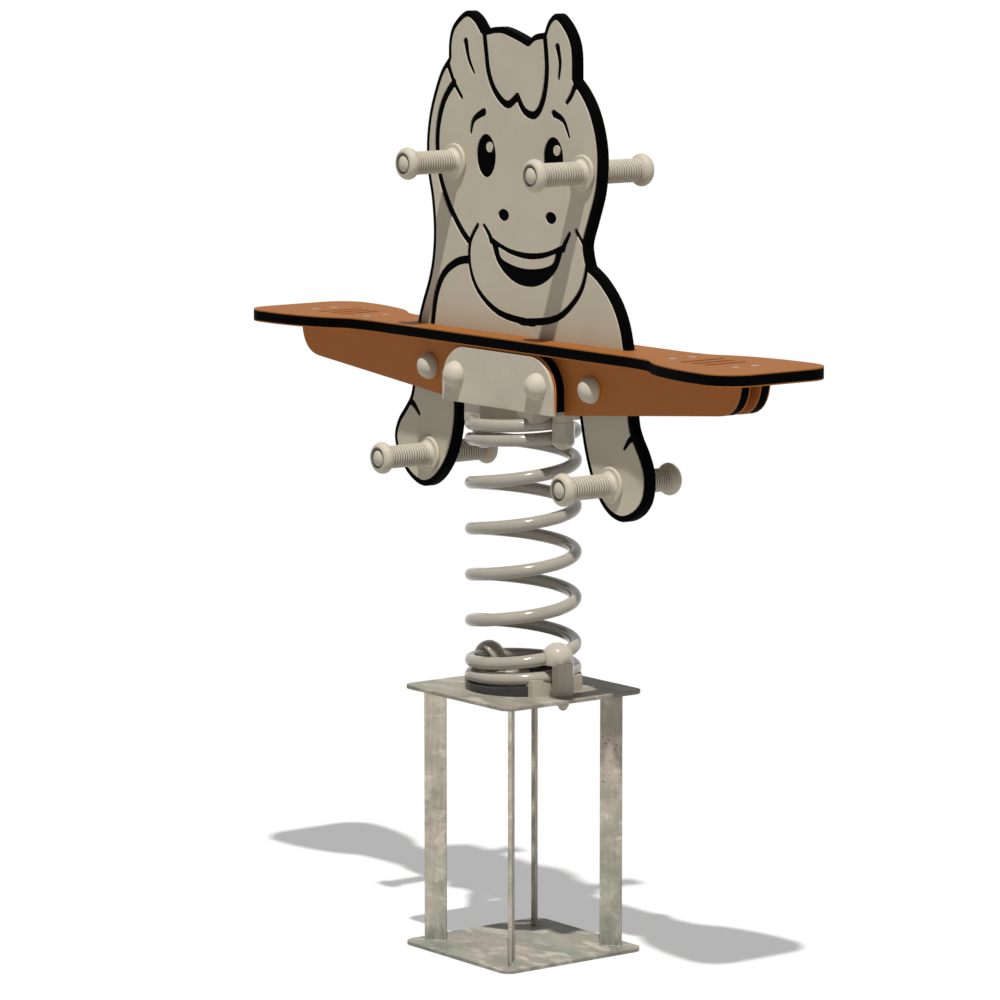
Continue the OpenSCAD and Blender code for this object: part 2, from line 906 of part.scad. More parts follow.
module panel_holes() {
    bracket_holes(bolt_d / 2 + fit);
    beam_holes(bolt_d / 2 + fit);
    axle_holes(axle_d / 2 + fit);
}

module panel_core() {
    color(BLACK)
        difference() {
            slab(-core_t / 2, core_t)
                polygon(outline_points());
            panel_holes();
        }
}

// The skin that is left after the border and the drawing are routed away
module panel_drawing() {
    difference() {
        polygon(inset_points(border));
        for (s = LINES)
            polygon(stroke(s));
        for (p = EYES)
            polygon(ellipse_points(p, eye_x, eye_z));
        for (p = NOSTRILS)
            polygon(ellipse_points(p, nostril_x, nostril_z));
        polygon(lens(MOUTH_TOP, MOUTH_LOW));
    }
    for (p = EYES)
        translate(p + [eye_x / 3, eye_z * 0.4])
            circle(glint_r);
    polygon(lens(TEETH_TOP, TEETH_LOW));
}

module panel_skin(y) {
    difference() {
        slab(y, skin_t)
            panel_drawing();
        panel_holes();
    }
}

module panel_front_skin() {
    color(BEIGE)
        panel_skin(-board_t / 2);
}

module panel_rear_skin() {
    color(BEIGE)
        panel_skin(core_t / 2);
}

// Plank seat

// Flare of the plank from its waist to its widest place, as shares of the run and of the rise
FLARE = [[0, 0], [0.217, 0.12], [0.342, 0.42], [0.458, 0.65], [0.625, 0.84], [0.817, 0.97], [1, 1]];

function seat_quarter() =
    let (r = min(seat_r, end_l))
    concat(
        spline([
            for (f = FLARE)
                [waist_x + f[0] * (wide_x - waist_x), waist_y + f[1] * (seat_y - waist_y)]
        ]),
        [for (k = [0 : corner_n])
            let (a = 90 - 90 * k / corner_n)
            [seat_x - r + r * cos(a), seat_y - r + r * sin(a)]]
    );

function seat_points() =
    let (q = seat_quarter(), half = concat(q, [for (p = turned(q)) [p[0], -p[1]]]))
    concat(half, [for (p = half) -p]);

// Ends of the slot, from the panel's widest place near the plank
slot_reach = board_t / 2 + 14;
slot_xs = [
    for (p = outline_points())
        if (abs(p[1] - seat_z - board_t / 2) < slot_reach)
            p[0]
];
slot_left = min(slot_xs) - 2 * fit;
slot_right = max(slot_xs) + 2 * fit;

module seat_layer(z, t) {
    translate([0, 0, rider_z + seat_z + z])
        linear_extrude(t)
            difference() {
                polygon(seat_points());
                translate([slot_left, -board_t / 2 - fit])
                    square([slot_right - slot_left, board_t + 2 * fit]);
            }
}

// Places of the seat screws, over the middles of both beams, at the plank's underside
module seat_screw_places() {
    for (i = [-1, 1], x = [screw_in, screw_out], j = [-1, 1])
        translate([i * x, j * (beam_y + board_t / 2), rider_z + seat_z])
            children();
}

module seat_screw_holes(z, t) {
    seat_screw_places()
        translate([0, 0, z - 1])
            cylinder(d = screw_d + 2 * fit, h = t + 2);
}

module seat_core() {
    color(BLACK)
        difference() {
            seat_layer(skin_t, core_t);
            seat_screw_holes(skin_t, core_t);
        }
}

module seat_bottom_skin() {
    color(BROWN)
        difference() {
            seat_layer(0, skin_t);
            seat_screw_holes(0, skin_t);
        }
}

module seat_top_skin() {
    color(BROWN)
        difference() {
            seat_layer(skin_t + core_t, skin_t);
            seat_screw_places()
                translate([0, 0, skin_t + core_t - 1])
                    cylinder(d = screw_head_d + 2 * fit, h = skin_t + 2);
            for (i = [-1, 1], k = [0 : drain_n - 1])
                translate([i * (screw_in + screw_out) / 2 + (k - (drain_n - 1) / 2) * drain_pitch, 0,
                           rider_z + seat_z + skin_t + core_t - 1])
                    drain_slot();
        }
}

module drain_slot() {
    linear_extrude(skin_t + 2) {
        square([drain_w, drain_l - drain_w], center = true);
        for (j = [-1, 1])
            translate([0, j * (drain_l - drain_w) / 2])
                circle(d = drain_w);
    }
}

module seat_screws() {
    color(ZINC)
        seat_screw_places() {
            translate([0, 0, -screw_grip])
                cylinder(d = screw_d, h = screw_grip + board_t - skin_t);
            translate([0, 0, board_t - skin_t])
                cylinder(d = screw_head_d, h = skin_t);
        }
}

// Through bolts, nuts and their caps; face is where the cap base sits

module through_bolt(x, z, face) {
    reach = face + cap_base_t;
    cross_hex(x, z, bolt_af, -reach - bolt_head_h, -reach);
    cross_pin(x, z, bolt_d / 2, -reach - bolt_head_h / 2, reach + nut_h + fit);
}

module bracket_bolts() {
    color(ZINC)
        for (i = [-1, 1])
            through_bolt(i * bracket_bolt_x, bracket_bolt_z, head_y);
}

module beam_bolts() {
    color(ZINC)
        for (i = [-1, 1])
            through_bolt(i * beam_bolt_x, beam_bolt_z, spacer_y);
}

module bolt_nut(x, z, face) {
    difference() {
        cross_hex(x, z, bolt_af, face + cap_base_t, face + cap_base_t + nut_h);
        cross_pin(x, z, bolt_d / 2 + fit, face, face + cap_base_t + nut_h + 1);
    }
}

module bolt_nuts() {
    color(ZINC)
        for (i = [-1, 1]) {
            bolt_nut(i * bracket_bolt_x, bracket_bolt_z, head_y);
            bolt_nut(i * beam_bolt_x, beam_bolt_z, spacer_y);
        }
}

// Puts a piece that stands on z = 0 on both faces at each bolt
module cap_places() {
    for (i = [-1, 1], j = [0, 1])
        mirror([0, j, 0]) {
            translate([i * bracket_bolt_x, head_y, rider_z + bracket_bolt_z])
                rotate([-90, 0, 0])
                    children();
            translate([i * beam_bolt_x, spacer_y, rider_z + beam_bolt_z])
                rotate([-90, 0, 0])
                    children();
        }
}

module cap_bases() {
    color(BEIGE)
        cap_places()
            difference() {
                cylinder(r = cap_base_r, h = cap_base_t);
                translate([0, 0, -1])
                    cylinder(r = bolt_d / 2 + fit, h = cap_base_t + 2);
            }
}

module dome_cap() {
    ball = (cap_r ^ 2 + cap_h ^ 2) / (2 * cap_h);
    difference() {
        translate([0, 0, cap_h - ball])
            sphere(ball);
        translate([-2 * ball, -2 * ball, -4 * ball])
            cube(4 * ball);
        translate([0, 0, -1])
            cylinder(r = cap_base_r + fit, h = cap_base_t + fit + 1);
        cylinder(r = bolt_af / 2 / cos(30) + fit, h = cap_pocket);
    }
}

module bolt_caps() {
    color(BEIGE)
        cap_places()
            dome_cap();
}

// Axles, grips, nuts and buttons

// Puts a piece that points along z on both faces of the panel at both axles of one pair
module grip_places(x, z) {
    for (i = [-1, 1], j = [0, 1])
        mirror([0, j, 0])
            translate([i * x, board_t / 2, rider_z + z])
                rotate([-90, 0, 0])
                    children();
}

function rib_points() = [
    for (k = [0 : rib_n - 1])
        let (p = rib_zone / rib_n, s = collar_l + k * p)
        each [
            [barrel_r - rib_h, s + 0.28 * p], [barrel_r, s + 0.4 * p],
            [barrel_r, s + 0.88 * p], [barrel_r - rib_h, s + p]
        ]
];

function bulb_points() = [
    for (k = [0 : bulb_n])
        let (a = bulb_from + (180 - 2 * bulb_from) * k / bulb_n)
        [neck_r + (bulb_r - neck_r) * sin(a), grip_l - bulb_l / 2 * (1 + cos(a) / cos(bulb_from))]
];

// The flange against the panel, with a round rim and a bell that runs down to the ribs
function flange_points() =
    let (rim_r = flange_r - flange_edge, bell = rim_r - flange_step - barrel_r)
    concat(
        [for (k = [0 : arc_n])
            let (a = -90 + 180 * k / arc_n)
            [rim_r + flange_edge * cos(a), flange_l / 2 * (1 + sin(a))]],
        [for (k = [0 : arc_n])
            let (a = 90 * k / arc_n)
            [barrel_r + bell * (1 - sin(a)), flange_l + (collar_l - flange_l) * (1 - cos(a))]]
    );

module grip() {
    bore = axle_d / 2 + fit;
    rotate_extrude()
        polygon(concat(
            [[bore, 0]],
            flange_points(),
            rib_points(),
            bulb_points(),
            [[pocket_r, grip_l - flange_edge], [pocket_r, pocket_l], [bore, pocket_l]]
        ));
}

module axle(x, z) {
    for (i = [-1, 1])
        cross_pin(i * x, z, axle_d / 2, -board_t / 2 - axle_end, board_t / 2 + axle_end);
}

module hand_axles() {
    color(ZINC)
        axle(hand_x, hand_z);
}

module foot_axles() {
    color(ZINC)
        axle(foot_x, foot_z);
}

module hand_grips() {
    color(BEIGE)
        grip_places(hand_x, hand_z)
            grip();
}

module foot_pegs() {
    color(BEIGE)
        grip_places(foot_x, foot_z)
            grip();
}

module axle_nut() {
    translate([0, 0, pocket_l])
        difference() {
            cylinder(d = axle_nut_af / cos(30), h = axle_nut_h, $fn = 6);
            translate([0, 0, -1])
                cylinder(d = axle_d + 2 * fit, h = axle_nut_h + 2);
        }
}

module axle_nuts() {
    color(ZINC) {
        grip_places(hand_x, hand_z)
            axle_nut();
        grip_places(foot_x, foot_z)
            axle_nut();
    }
}

module button() {
    ball = (button_r ^ 2 + button_h ^ 2) / (2 * button_h);
    top = grip_l - button_sunk;
    translate([0, 0, button_z])
        cylinder(r = button_r, h = top - button_z);
    difference() {
        translate([0, 0, top + button_h - ball])
            sphere(ball);
        translate([-2 * ball, -2 * ball, top - 4 * ball])
            cube(4 * ball);
    }
}

module grip_buttons() {
    color(BEIGE) {
        grip_places(hand_x, hand_z)
            button();
        grip_places(foot_x, foot_z)
            button();
    }
}

anchor_base_plate();
anchor_legs();
anchor_top_plate();
spring_seat_ring();
lower_clamp_blocks();
lower_clamp_jaws();
lower_clamp_bolts();
lower_clamp_washers();
coil_spring();
upper_clamp_blocks();
upper_clamp_jaws();
upper_clamp_bolts();
head_plate();
front_bracket_plate();
rear_bracket_plate();
front_spacer_core();
front_spacer_skins();
rear_spacer_core();
rear_spacer_skins();
front_beam_core();
front_beam_skins();
rear_beam_core();
rear_beam_skins();
panel_core();
panel_front_skin();
panel_rear_skin();
seat_core();
seat_top_skin();
seat_bottom_skin();
seat_screws();
bracket_bolts();
beam_bolts();
bolt_nuts();
cap_bases();
bolt_caps();
hand_axles();
hand_grips();
foot_axles();
foot_pegs();
axle_nuts();
grip_buttons();
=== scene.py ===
import math

import bmesh
import bpy
from mathutils import Matrix, Vector


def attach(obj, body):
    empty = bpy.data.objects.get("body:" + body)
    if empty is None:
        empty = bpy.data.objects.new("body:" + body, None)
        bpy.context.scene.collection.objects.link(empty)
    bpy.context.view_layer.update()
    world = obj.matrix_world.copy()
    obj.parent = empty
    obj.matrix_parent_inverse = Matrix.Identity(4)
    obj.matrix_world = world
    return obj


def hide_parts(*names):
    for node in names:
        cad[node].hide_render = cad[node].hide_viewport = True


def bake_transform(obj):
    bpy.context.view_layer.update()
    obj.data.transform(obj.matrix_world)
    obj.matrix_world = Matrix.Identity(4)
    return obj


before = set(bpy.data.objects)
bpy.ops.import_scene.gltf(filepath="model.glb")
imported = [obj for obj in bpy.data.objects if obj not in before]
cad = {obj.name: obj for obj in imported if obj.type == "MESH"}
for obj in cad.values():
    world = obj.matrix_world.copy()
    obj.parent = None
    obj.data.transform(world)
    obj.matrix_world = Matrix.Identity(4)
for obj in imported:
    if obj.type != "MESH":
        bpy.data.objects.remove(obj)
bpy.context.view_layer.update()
scene = bpy.context.scene


# Studio: a pale seamless floor, a high sun-like lamp from the front right and a dim even sky.
# The floor is white to the eye and to gloss, keeps the shadow, and gives less light to undersides.
scene.view_settings.view_transform = "Standard"

lens = bpy.data.cameras.new("photo_view")
lens.sensor_width = 36
lens.lens = 177.25
lens.clip_end = 500
viewer = bpy.data.objects.new("photo_view", lens)
viewer.location = (6.060, -4.646, 1.789)
looked_at = Vector((-0.0604, 0.0, 0.709))
viewer.rotation_euler = (looked_at - viewer.location).to_track_quat("-Z", "Y").to_euler()
scene.collection.objects.link(viewer)
scene.camera = viewer

light_way = Vector((-0.3215, 0.2462, -0.9143))


def sun_lamp(name):
    """A far lamp, small and faintly warm, whose shadows are crisp."""
    sun = bpy.data.lights.new(name, "SUN")
    sun.energy = 3.3
    sun.angle = math.radians(1.2)
    sun.color = (1.0, 0.985, 0.96)
    lamp = bpy.data.objects.new(name, sun)
    lamp.rotation_euler = light_way.to_track_quat("-Z", "Y").to_euler()
    scene.collection.objects.link(lamp)
    return lamp


key = sun_lamp("key")


def seen_directly(tree):
    """1 where the eye looks at a surface, also through gloss or glass, and 0 for all other light."""
    path = tree.nodes.new("ShaderNodeLightPath")
    total = path.outputs["Is Camera Ray"]
    for kind in ("Is Glossy Ray", "Is Transmission Ray"):
        either = tree.nodes.new("ShaderNodeMath")
        either.operation = "MAXIMUM"
        tree.links.new(total, either.inputs[0])
        tree.links.new(path.outputs[kind], either.inputs[1])
        total = either.outputs[0]
    return total


sky = bpy.data.worlds.new("sky")
scene.world = sky
sky.use_nodes = True
sky_nodes, sky_links = sky.node_tree.nodes, sky.node_tree.links
open_sky = sky_nodes["Background"]
open_sky.inputs["Color"].default_value = (0.97, 0.98, 1.0, 1)
open_sky.inputs["Strength"].default_value = 0.12
backdrop = sky_nodes.new("ShaderNodeBackground")
sky_mix = sky_nodes.new("ShaderNodeMixShader")
sky_links.new(seen_directly(sky.node_tree), sky_mix.inputs["Fac"])
sky_links.new(open_sky.outputs[0], sky_mix.inputs[1])
sky_links.new(backdrop.outputs[0], sky_mix.inputs[2])
sky_links.new(sky_mix.outputs[0], sky_nodes["World Output"].inputs["Surface"])

floor_size, floor_gap = 240, 0.0004
floor_to_pieces, floor_to_eye = 0.55, 0.97
floor_glow = 0.39
bpy.ops.mesh.primitive_plane_add(size=floor_size, location=(0, 0, -floor_gap))
floor = bpy.context.object
floor.name = "floor"
paper = bpy.data.materials.new("floor_paper")
paper.use_nodes = True
paper_nodes, paper_links = paper.node_tree.nodes, paper.node_tree.links
matt = paper_nodes["Principled BSDF"]
matt.inputs["Roughness"].default_value = 1.0
matt.inputs["Specular IOR Level"].default_value = 0.0
direct = seen_directly(paper.node_tree)
tone = paper_nodes.new("ShaderNodeMix")
tone.data_type = "RGBA"
tone.inputs["A"].default_value = (floor_to_pieces, floor_to_pieces, floor_to_pieces, 1)
tone.inputs["B"].default_value = (floor_to_eye, floor_to_eye, floor_to_eye, 1)
glow = paper_nodes.new("ShaderNodeEmission")
lift = paper_nodes.new("ShaderNodeMath")
lift.operation = "MULTIPLY"
lift.inputs[1].default_value = floor_glow
paper_mix = paper_nodes.new("ShaderNodeMixShader")
paper_links.new(direct, tone.inputs["Factor"])
paper_links.new(tone.outputs["Result"], matt.inputs["Base Color"])
paper_links.new(direct, lift.inputs[0])
paper_links.new(lift.outputs[0], paper_mix.inputs["Fac"])
paper_links.new(matt.outputs[0], paper_mix.inputs[1])
paper_links.new(glow.outputs[0], paper_mix.inputs[2])
paper_links.new(paper_mix.outputs[0], paper_nodes["Material Output"].inputs["Surface"])
floor.data.materials.append(paper)


# Anchor plates: two square steel plates, cut with round corners, drilled and hot-dip galvanised.
# The zinc dries in cloudy patches with a faint crystal pattern and a dull, uneven gloss.
def finish(name, colour, roughness, specular=0.5, metallic=0.0):
    """A material with one shader, and its node tree ready for texture."""
    material = bpy.data.materials.new(name)
    material.use_nodes = True
    shader = material.node_tree.nodes["Principled BSDF"]
    shader.inputs["Base Color"].default_value = (*colour, 1)
    shader.inputs["Roughness"].default_value = roughness
    shader.inputs["Specular IOR Level"].default_value = specular
    shader.inputs["Metallic"].default_value = metallic
    return material


def add(material, kind, **values):
    """A node of one kind in a material, with its settings and its inputs by name."""
    made = material.node_tree.nodes.new(kind)
    for name, value in values.items():
        if name in made.inputs:
            made.inputs[name].default_value = value
        else:
            setattr(made, name, value)
    return made


def join(material, *pairs):
    """Links an output to an input, for each pair."""
    for source, target in pairs:
        material.node_tree.links.new(source, target)


def feed(material, source, socket):
    """Leads a texture into one socket of the material's shader."""
    join(material, (source, material.node_tree.nodes["Principled BSDF"].inputs[socket]))


def place_in(material, scale=(1, 1, 1)):
    """The place on the object, in metres, stretched by scale."""
    where = add(material, "ShaderNodeTexCoord")
    mapping = add(material, "ShaderNodeMapping", Scale=scale)
    join(material, (where.outputs["Object"], mapping.inputs["Vector"]))
    return mapping.outputs["Vector"]


def noise_over(material, where, **values):
    """A soft random value over the places given."""
    made = add(material, "ShaderNodeTexNoise", **values)
    join(material, (where, made.inputs["Vector"]))
    return made.outputs["Fac"]


def ramp(material, source, *stops):
    """Colours along a value from 0 to 1, given as (position, colour)."""
    made = add(material, "ShaderNodeValToRGB")
    band = made.color_ramp
    while len(band.elements) < len(stops):
        band.elements.new(0.5)
    for element, (position, colour) in zip(band.elements, stops):
        element.position = position
        element.color = (*colour, 1) if isinstance(colour, tuple) else (colour, colour, colour, 1)
    join(material, (source, made.inputs["Fac"]))
    return made.outputs["Color"]


def blend_colour(material, kind, share, a, b):
    """Colour b laid over colour a, where each may be a texture."""
    made = add(material, "ShaderNodeMix", data_type="RGBA", blend_type=kind)
    for value, socket in ((share, made.inputs["Factor"]), (a, made.inputs["A"]), (b, made.inputs["B"])):
        if isinstance(value, bpy.types.NodeSocket):
            join(material, (value, socket))
        else:
            socket.default_value = value
    return made.outputs["Result"]


def relief(material, *layers):
    """Bumps one over another, each given as (height, depth in metres)."""
    normal = None
    for height, depth in layers:
        bump = add(material, "ShaderNodeBump", Strength=1.0, Distance=depth)
        join(material, (height, bump.inputs["Height"]))
        if normal is not None:
            join(material, (normal, bump.inputs["Normal"]))
        normal = bump.outputs["Normal"]
    feed(material, normal, "Normal")


def galvanised(name, stretch, tone, bloom_share, damp_share):
    """Zinc in clouds, with pale bloom, crystals, dark scuffs and a green damp foot."""
    steel = finish(name, (0.36, 0.34, 0.29), 0.55, specular=0.25)
    where = place_in(steel, stretch)
    cloud = noise_over(steel, where, Scale=14, Detail=4, Roughness=0.55, Distortion=0.4)
    bloom = noise_over(steel, where, Scale=30, Detail=3, Roughness=0.5, Distortion=0.5)
    scuff = noise_over(steel, where, Scale=170, Detail=2, Roughness=0.5, Distortion=1.2)
    patch = noise_over(steel, where, Scale=7, Detail=1)
    fine = noise_over(steel, where, Scale=420, Detail=3, Roughness=0.6)
    streak = noise_over(steel, place_in(steel, (1, 1, 0.12)), Scale=260, Detail=2, Roughness=0.6)
    crystal = add(steel, "ShaderNodeTexVoronoi", Scale=150)
    height = add(steel, "ShaderNodeSeparateXYZ")
    join(steel, (where, crystal.inputs["Vector"]), (place_in(steel), height.inputs["Vector"]))

    greys = ((0.3, (0.235, 0.225, 0.195)), (0.44, (0.315, 0.295, 0.25)),
             (0.58, (0.375, 0.35, 0.3)), (0.72, (0.45, 0.425, 0.37)))
    base = ramp(steel, cloud, *((place, tuple(tone * c for c in grey)) for place, grey in greys))
    pale = (*(tone * c for c in (0.62, 0.585, 0.525)), 1)
    bloomed = blend_colour(steel, "MIX", ramp(steel, bloom, (0.53, 0.0), (0.69, bloom_share)), base, pale)
    cells = ramp(steel, crystal.outputs["Color"], (0.0, 0.93), (1.0, 1.07))
    celled = blend_colour(steel, "MULTIPLY", 0.7, bloomed, cells)
    hue = ramp(steel, patch, (0.35, (0.90, 0.97, 0.92)), (0.5, (1.0, 0.99, 0.95)),
               (0.65, (1.06, 0.98, 0.96)))
    tinted = blend_colour(steel, "MULTIPLY", 1.0, celled, hue)
    mottled = blend_colour(steel, "MULTIPLY", 1.0, tinted, ramp(steel, streak, (0.3, 0.88), (0.7, 1.1)))

    low_down = ramp(steel, height.outputs["Z"], (0.0, damp_share), (0.08, 0.0))
    runs = ramp(steel, streak, (0.4, 0.3), (0.58, 1.0))
    damp = blend_colour(steel, "MULTIPLY", 1.0, low_down, runs)
    greened = blend_colour(steel, "MIX", damp, mottled, (0.2, 0.25, 0.22, 1))
    scratches = ramp(steel, scuff, (0.63, 0.0), (0.69, 0.8))
    handled = ramp(steel, patch, (0.52, 0.0), (0.62, 1.0))
    marks = blend_colour(steel, "MULTIPLY", 1.0, scratches, handled)
    feed(steel, blend_colour(steel, "MIX", marks, greened, (0.12, 0.115, 0.1, 1)), "Base Color")
    feed(steel, ramp(steel, bloom, (0.3, 0.5), (0.7, 0.66)), "Roughness")
    relief(steel, (cloud, 0.0004), (fine, 0.0001))
    return steel


def dress(node, material, edge=0.0, steps=2):
    """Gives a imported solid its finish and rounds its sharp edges."""
    piece = cad[node]
    piece.data.materials.clear()
    piece.data.materials.append(material)
    weld = piece.modifiers.new("weld", "WELD")
    weld.merge_threshold = 0.000005
    if edge:
        flat = piece.modifiers.new("flat", "DECIMATE")
        flat.decimate_type = "DISSOLVE"
        flat.angle_limit = math.radians(0.5)
        bevel = piece.modifiers.new("edge", "BEVEL")
        bevel.width = edge
        bevel.segments = steps
        bevel.limit_method = "ANGLE"
        bevel.angle_limit = math.radians(35)
        bevel.harden_normals = True


plate_coat = galvanised("galvanised_plate", (0.6, 1.3, 1.0), 0.95, 0.9, 0.15)
for plate in ("anchor_base_plate", "anchor_top_plate"):
    dress(plate, plate_coat, edge=0.0012)


# Anchor legs: four galvanised flat bars on the plates' diagonals, with a weld along both sides
# at each end. Zinc gathers in level bands while it cools, so their clouds lie across the bar.
# Painted light: the legs' zinc is the plates' zinc at over one and a half times the tone, so the upright
# bars read as brightly lit.
leg_coat = galvanised("galvanised_leg", (1.0, 1.0, 1.5), 1.5, 0.45, 1.0)
dress("anchor_legs", leg_coat, edge=0.0008)

leg_w, leg_t = 0.035, 0.006
plate_w, plate_t, plate_top = 0.274, 0.006, 0.419
leg_inset = 0.054
leg_mid = plate_w / 2 * math.sqrt(2) - leg_inset
bead_size, bead_crown, bead_tip = 0.0022, 0.2, 0.4
taper_share = 1 / 8
ripple_length, ripple_height = 0.0034, 0.1
bead_sides, bead_steps = 6, 40


def piece_from(mesh, name, material):
    """A new object from a built mesh, with its faces turned outwards."""
    bmesh.ops.recalc_face_normals(mesh, faces=mesh.faces)
    data = bpy.data.meshes.new(name)
    mesh.to_mesh(data)
    mesh.free()
    data.materials.append(material)
    piece = bpy.data.objects.new(name, data)
    scene.collection.objects.link(piece)
    return piece


def skin_rows(mesh, rows):
    """A closed tube over rows of points, with flat ends and a sharp rim round each."""
    for a, b in zip(rows, rows[1:]):
        for k in range(len(a)):
            n = (k + 1) % len(a)
            mesh.faces.new((a[k], a[n], b[n], b[k])).smooth = True
    for end in (rows[0][::-1], rows[-1]):
        for rim in mesh.faces.new(end).edges:
            rim.smooth = False


def weld_bead(mesh, start, along, up, out):
    """A rippled fillet along one edge, in the corner between the faces that up and out point from."""
    rows = []
    for i in range(bead_steps + 1):
        t = i / bead_steps
        taper = math.sqrt(min(1.0, t / taper_share, (1 - t) / taper_share))
        ripple = 1 + ripple_height * math.cos(2 * math.pi * t * along.length / ripple_length)
        size = bead_size * ripple * (bead_tip + (1 - bead_tip) * taper)
        corner = start + along * t
        row = [mesh.verts.new(corner)]
        for k in range(bead_sides + 1):
            a = math.pi / 2 * k / bead_sides
            reach = size * (1 + bead_crown * math.sin(2 * a)) / (math.sin(a) + math.cos(a))
            row.append(mesh.verts.new(corner + reach * (up * math.sin(a) + out * math.cos(a))))
        rows.append(row)
    skin_rows(mesh, rows)


beads = bmesh.new()
for corner in range(4):
    turn = Matrix.Rotation(math.radians(45 + 90 * corner), 3, "Z")
    radial, across = turn @ Vector((1, 0, 0)), turn @ Vector((0, 1, 0))
    for height, up in ((plate_t, 1), (plate_top - plate_t, -1)):
        for hand in (-1, 1):
            foot = radial * (leg_mid - leg_w / 2) + across * hand * leg_t / 2 + Vector((0, 0, height))
            weld_bead(beads, foot, radial * leg_w, Vector((0, 0, up)), across * hand)
leg_welds = piece_from(beads, "leg_welds", leg_coat)
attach(leg_welds, "anchor")


# Low light: in the photo the top plate's shadow lies on the floor, but not on the base plate and legs.
# A second lamp, like the first, lights only these, and the top plate doesn't stand in its way.
def light_group(name, pieces, state):
    """Pieces that a lamp takes in, or leaves out, for its light or its shadows."""
    group = bpy.data.collections.new(name)
    for piece in pieces:
        group.objects.link(piece)
    for entry in group.collection_objects:
        entry.light_linking.link_state = state
    return group


low_pieces = [cad["anchor_base_plate"], cad["anchor_legs"], leg_welds]
low_key = sun_lamp("low_key")
key.light_linking.receiver_collection = light_group("not_key", low_pieces, "EXCLUDE")
low_key.light_linking.receiver_collection = light_group("low_key", low_pieces, "INCLUDE")
low_key.light_linking.blocker_collection = light_group("no_shadow", [cad["anchor_top_plate"]], "EXCLUDE")


# Seat ring: two wedges of dark rubber that fill the space between the top plate and the lowest turn.
# They are moulded, end at the clamp blocks, and are held down by the spring alone.
rubber = finish("seat_ring_rubber", (0.03, 0.03, 0.029), 0.3, specular=0.5)
rub_marks = noise_over(rubber, place_in(rubber, (1, 1, 5)), Scale=30, Detail=2)
rub_grain = noise_over(rubber, place_in(rubber), Scale=240, Detail=3, Roughness=0.6)
feed(rubber, ramp(rubber, rub_marks, (0.4, 0.12), (0.6, 0.5)), "Roughness")
relief(rubber, (rub_grain, 0.00012))
dress("spring_seat_ring", rubber, edge=0.0018, steps=4)


# Lower clamps: cast steel blocks and domed jaws that grip the two lowest turns.
# They are powder coated with the spring, in glossy beige with a faint orange peel.
def cloud_tint(material, clouds, colour, darkest, lightest):
    """Clouds a colour between a darker and a lighter share of itself."""
    dark = tuple(darkest * c for c in colour)
    light = tuple(min(1, lightest * c) for c in colour)
    feed(material, ramp(material, clouds, (0.3, dark), (0.7, light)), "Base Color")


def powder_coat(name, colour, roughness, specular, ior=1.5):
    """Baked-on paint with a little orange peel. A higher ior mirrors more."""
    coat = finish(name, colour, roughness, specular)
    coat.node_tree.nodes["Principled BSDF"].inputs["IOR"].default_value = ior
    where = place_in(coat)
    tint = noise_over(coat, where, Scale=22, Detail=3, Roughness=0.5)
    peel = noise_over(coat, where, Scale=520, Detail=2, Roughness=0.45)
    cloud_tint(coat, tint, colour, 0.93, 1.04)
    relief(coat, (peel, 0.00006))
    return coat


# Painted light: the clamps carry the spring's paint, but lighter than the spring's coat, so they read as
# lit where they stand in shade.
clamp_coat = powder_coat("clamp_powder_coat", (0.575, 0.525, 0.432), 0.21, 0.25)
for piece_name in ("lower_clamp_blocks", "lower_clamp_jaws"):
    dress(piece_name, clamp_coat, edge=0.0012)


# Clamp bolts: zinc-plated steel bolts that draw jaws and blocks together. The lower two come from
# below the top plate, with domed hexagon heads on washers. The upper two are countersunk and hidden.
zinc = finish("zinc_plate", (0.40, 0.365, 0.30), 0.5, metallic=0.6)
zinc_cloud = noise_over(zinc, place_in(zinc), Scale=90, Detail=3, Roughness=0.55)
zinc_grain = noise_over(zinc, place_in(zinc), Scale=800, Detail=2)
zinc_tint = ramp(zinc, zinc_cloud, (0.3, (0.37, 0.335, 0.27)), (0.7, (0.43, 0.395, 0.33)))
feed(zinc, zinc_tint, "Base Color")
feed(zinc, ramp(zinc, zinc_grain, (0.3, 0.42), (0.7, 0.58)), "Roughness")
relief(zinc, (zinc_grain, 0.00004))
for piece_name in ("lower_clamp_bolts", "lower_clamp_washers", "upper_clamp_bolts"):
    dress(piece_name, zinc, edge=0.0005)


# Spring: one round steel bar, coiled hot with its end turns close, then powder coated.
# It is built as two halves, which meet at the middle of the open turns.
spring_coat = powder_coat("spring_powder_coat", (0.41, 0.378, 0.313), 0.13, 0.5, ior=1.57)
bar_r, coil_r = 0.010, 0.082
coil_z = 0.4358
coil_from = math.radians(165)
low_turns, open_turns, top_turns = 1.375, 4.8, 1.42
end_pitch, open_pitch = 0.0224, 0.0726
ease = 0.4
all_turns = low_turns + open_turns + top_turns
bar_sides, rings_per_turn = 24, 48
nudge = 1e-4


def eased(x):
    """0 before a change of pitch and x after it, with a soft start."""
    if x <= -ease / 2:
        return 0.0
    if x >= ease / 2:
        return x
    return (x + ease / 2) ** 2 / (2 * ease)


def bar_point(u):
    """The bar's middle after u turns."""
    a = coil_from + 2 * math.pi * u
    rise = (open_pitch - end_pitch) * (eased(u - low_turns) - eased(u - low_turns - open_turns))
    return Vector((coil_r * math.cos(a), coil_r * math.sin(a), coil_z + end_pitch * u + rise))


